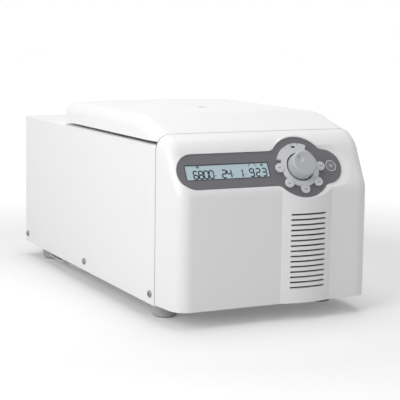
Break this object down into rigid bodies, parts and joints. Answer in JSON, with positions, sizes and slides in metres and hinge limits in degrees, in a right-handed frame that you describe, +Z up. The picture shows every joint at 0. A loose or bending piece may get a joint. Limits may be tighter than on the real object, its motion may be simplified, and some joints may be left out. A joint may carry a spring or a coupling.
{
  "type": "refrigerated microcentrifuge",
  "caption": "Bench-top cooled centrifuge for small tubes: hinged lid over a chilled rotor chamber, sloping front panel with display, dial and keys, fan and power inlet at the back.",
  "frame": {"origin": "centre of the overall box in plan, on the plane of the foot bottoms", "axes": "+Z up, -Y towards the control panel at the front, +X to the right of someone facing the front"},
  "size_m": [0.2844, 0.55, 0.252],
  "materials": {
    "case_paint": "satin",
    "sheet_metal": "brushed",
    "channel_metal": "satin",
    "cover_plastic": "satin",
    "lid_plastic": "satin",
    "lid_inner": "brushed",
    "lid_port": "clear",
    "panel_film": "matte",
    "key_plastic": "satin",
    "start_plastic": "satin",
    "knob_plastic": "satin",
    "lamp_plastic": "gloss",
    "display_plastic": "gloss",
    "circuit_board": "gloss",
    "dark_plastic": "satin",
    "foot_rubber": "matte",
    "screw_steel": "satin",
    "bright_steel": "polished",
    "bowl_steel": "brushed",
    "copper_pipe": "drawn copper",
    "foam": "foamed",
    "rotor_metal": "anodised",
    "rotor_cover": "satin",
    "motor_metal": "satin",
    "fin_metal": "mill",
    "pin_brass": "satin"
  },
  "bodies": {
    "housing": {"base_channels": "channel_metal", "base_plate": "sheet_metal", "case_screws": "screw_steel", "case_shell": "case_paint", "chamber_bowl": "bowl_steel", "chamber_seal": "foot_rubber", "compressor": "motor_metal", "compressor_mounts": "foot_rubber", "condenser": "fin_metal", "control_panel": "panel_film", "cover_screws": "screw_steel", "display_board": "circuit_board", "display_module": "display_plastic", "drier_clip": "copper_pipe", "encoder": "dark_plastic", "evaporator_coil": "copper_pipe", "fan_guard": "bright_steel", "fan_housing": "dark_plastic", "feet": "foot_rubber", "front_bulkhead": "sheet_metal", "front_cover": "cover_plastic", "hinge_brackets": "sheet_metal", "hinge_pins": "bright_steel", "inlet_pins": "pin_brass", "insulation": "foam", "keypad_ring": "key_plastic", "lock_housing": "dark_plastic", "mid_bulkhead": "sheet_metal", "motor": "motor_metal", "motor_mounts": "foot_rubber", "motor_plate": "sheet_metal", "power_board": "circuit_board", "power_inlet": "dark_plastic", "rear_panel": "case_paint", "refrigerant_lines": "copper_pipe", "status_lamp": "lamp_plastic", "switch_body": "dark_plastic", "top_deck": "sheet_metal", "vent_screen": "dark_plastic"},
    "lid": {"lid_shell": "lid_plastic", "lid_liner": "lid_inner", "lid_port_lens": "lid_port", "hinge_arms": "bright_steel", "lid_striker": "bright_steel"},
    "rotor_group": {"motor_shaft": "bright_steel", "rotor": "rotor_metal", "rotor_lid": "rotor_cover", "rotor_nut": "rotor_metal"},
    "latch": {"latch_hook": "bright_steel"},
    "fan": {"fan_blades": "dark_plastic"},
    "dial_plunger": {"encoder_plunger": "bright_steel"},
    "dial": {"encoder_shaft": "bright_steel", "knob": "knob_plastic"},
    "key_1_cap": {"key_1": "key_plastic"},
    "key_2_cap": {"key_2": "key_plastic"},
    "key_3_cap": {"key_3": "key_plastic"},
    "key_4_cap": {"key_4": "key_plastic"},
    "key_5_cap": {"key_5": "key_plastic"},
    "start_key_cap": {"start_key": "start_plastic"},
    "rocker": {"power_rocker": "dark_plastic"}
  },
  "joints": [
    {"name": "lid_hinge", "type": "hinge", "parent": "housing", "child": "lid", "pos_m": [0, 0.096, 0.231], "axis": [-1, 0, 0], "range_deg": [0, 80]},
    {"name": "rotor_spin", "type": "hinge", "parent": "housing", "child": "rotor_group", "pos_m": [0, -0.06, 0.16], "axis": [0, 0, 1], "continuous": true},
    {"name": "latch_pivot", "type": "hinge", "parent": "housing", "child": "latch", "pos_m": [0, -0.186, 0.18], "axis": [-1, 0, 0], "range_deg": [0, 25]},
    {"name": "fan_spin", "type": "hinge", "parent": "housing", "child": "fan", "pos_m": [0.066, 0.257, 0.112], "axis": [0, 1, 0], "continuous": true},
    {"name": "dial_press", "type": "slide", "parent": "housing", "child": "dial_plunger", "axis": [0, 0.866, -0.5], "range_m": [0, 0.0008], "stiffness_N_per_m": 2000, "springref_m": -0.001},
    {"name": "dial_turn", "type": "hinge", "parent": "dial_plunger", "child": "dial", "pos_m": [0.0385, -0.254, 0.1888], "axis": [0, -0.866, 0.5], "continuous": true},
    {"name": "key_1_press", "type": "slide", "parent": "housing", "child": "key_1_cap", "axis": [0, 0.866, -0.5], "range_m": [0, 0.0005], "stiffness_N_per_m": 1000, "springref_m": -0.001},
    {"name": "key_2_press", "type": "slide", "parent": "housing", "child": "key_2_cap", "axis": [0, 0.866, -0.5], "range_m": [0, 0.0005], "stiffness_N_per_m": 1000, "springref_m": -0.001},
    {"name": "key_3_press", "type": "slide", "parent": "housing", "child": "key_3_cap", "axis": [0, 0.866, -0.5], "range_m": [0, 0.0005], "stiffness_N_per_m": 1000, "springref_m": -0.001},
    {"name": "key_4_press", "type": "slide", "parent": "housing", "child": "key_4_cap", "axis": [0, 0.866, -0.5], "range_m": [0, 0.0005], "stiffness_N_per_m": 1000, "springref_m": -0.001},
    {"name": "key_5_press", "type": "slide", "parent": "housing", "child": "key_5_cap", "axis": [0, 0.866, -0.5], "range_m": [0, 0.0005], "stiffness_N_per_m": 1000, "springref_m": -0.001},
    {"name": "start_key_press", "type": "slide", "parent": "housing", "child": "start_key_cap", "axis": [0, 0.866, -0.5], "range_m": [0, 0.0004], "stiffness_N_per_m": 1000, "springref_m": -0.001},
    {"name": "rocker_tilt", "type": "hinge", "parent": "housing", "child": "rocker", "pos_m": [-0.048, 0.2685, 0.062], "axis": [-1, 0, 0], "range_deg": [0, 16]}
  ]
}
